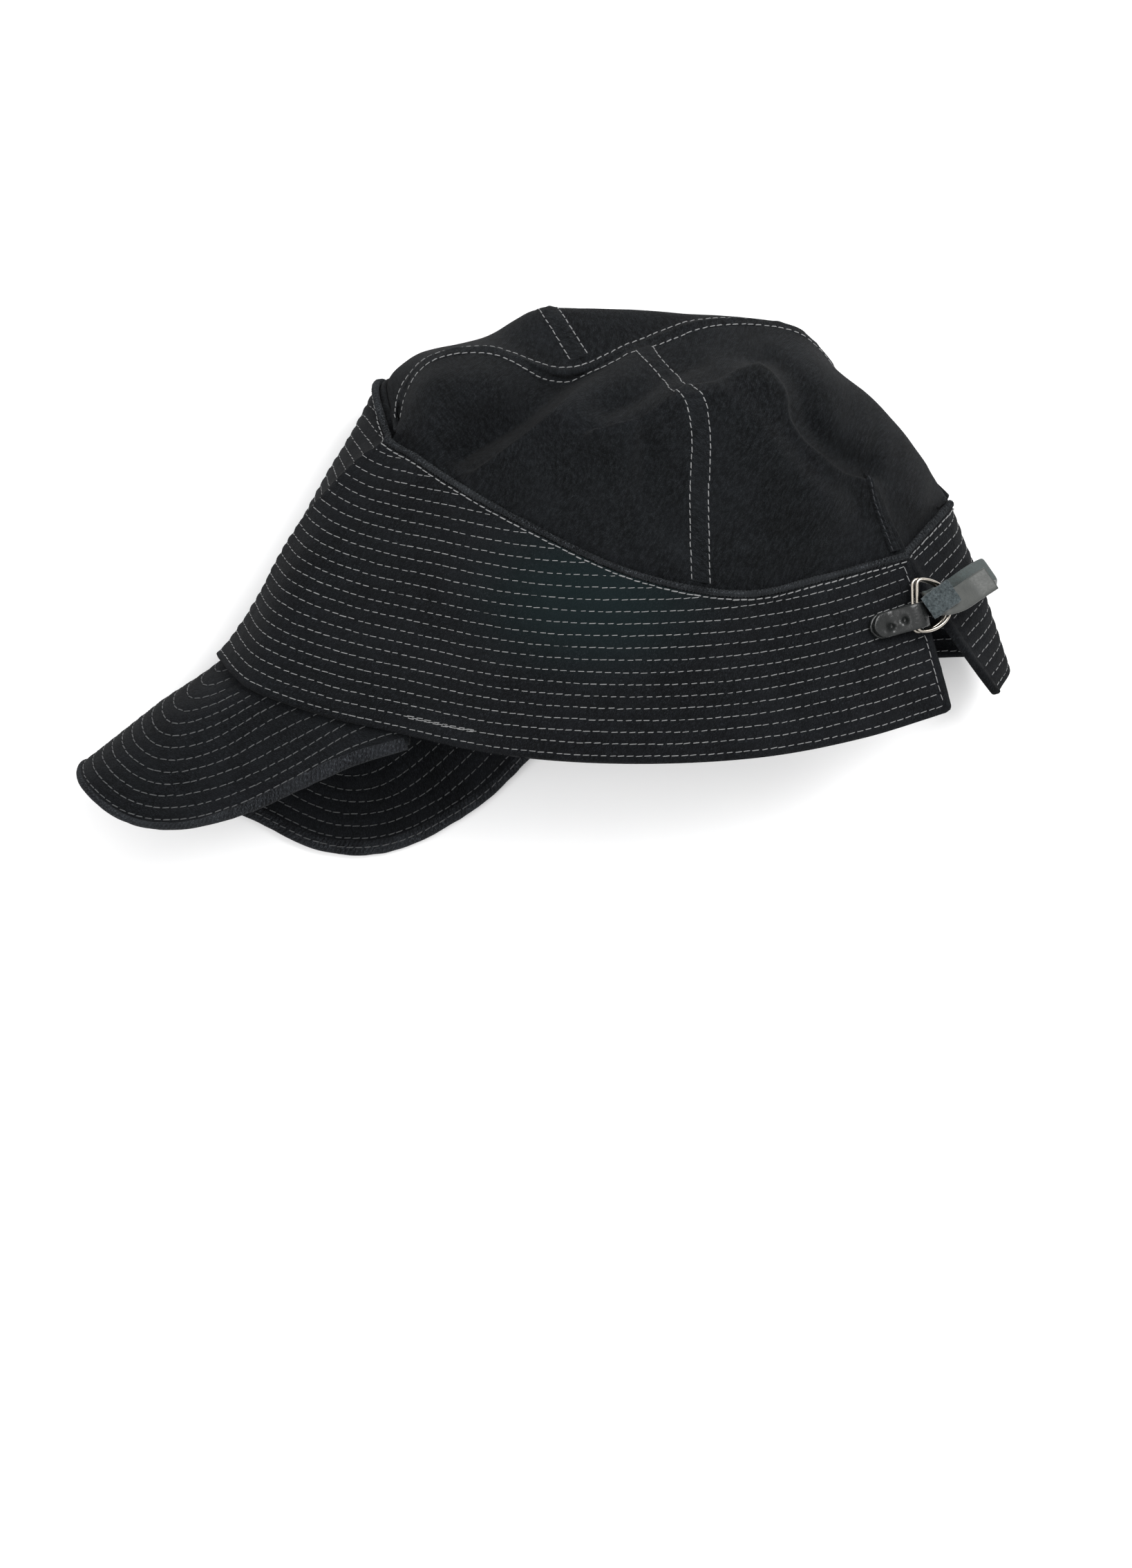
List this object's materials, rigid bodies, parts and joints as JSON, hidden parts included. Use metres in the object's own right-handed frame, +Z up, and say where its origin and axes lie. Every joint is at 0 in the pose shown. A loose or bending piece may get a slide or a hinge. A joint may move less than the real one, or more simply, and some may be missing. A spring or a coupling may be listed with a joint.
{
  "type": "quilted denim work cap",
  "caption": "Soft denim cap with a quilted band and curved quilted bill, lying on its side, open at the back with a leather strap through two rings.",
  "frame": {"origin": "on the surface the cap lies on, under the middle of its outline seen from above", "axes": "+X toward the back of the cap, +Y toward the top of its crown, +Z up from the surface, toward the side of the cap that is seen"},
  "size_m": [0.3715, 0.2195, 0.0973],
  "materials": {
    "crown_denim": "dark washed denim, plain panels",
    "seam_denim": "dark denim, felled seam with two rows of stitching",
    "band_denim": "dark denim, quilted in close rows with grey thread",
    "rope_denim": "faded denim, worn along the rolled edge",
    "bill_denim": "dark denim, quilted in close rows with grey thread",
    "leather": "blue-grey grain leather, slightly glossy",
    "suede": "blue-grey suede side of the leather",
    "nickel": "polished nickel wire"
  },
  "bodies": {
    "root": {"crown_front_near": "crown_denim", "crown_back_near": "crown_denim", "crown_front_far": "crown_denim", "crown_back_far": "crown_denim", "seam_sagittal": "seam_denim", "seam_coronal_near": "seam_denim", "seam_coronal_far": "seam_denim", "seam_back_dart": "seam_denim", "band": "band_denim", "band_rope": "rope_denim", "bill": "bill_denim", "bill_binding": "bill_denim", "tab_leather": "leather", "d_ring_1": "nickel", "d_ring_2": "nickel", "strap_leather": "leather", "strap_keeper": "suede"}
  },
  "joints": []
}
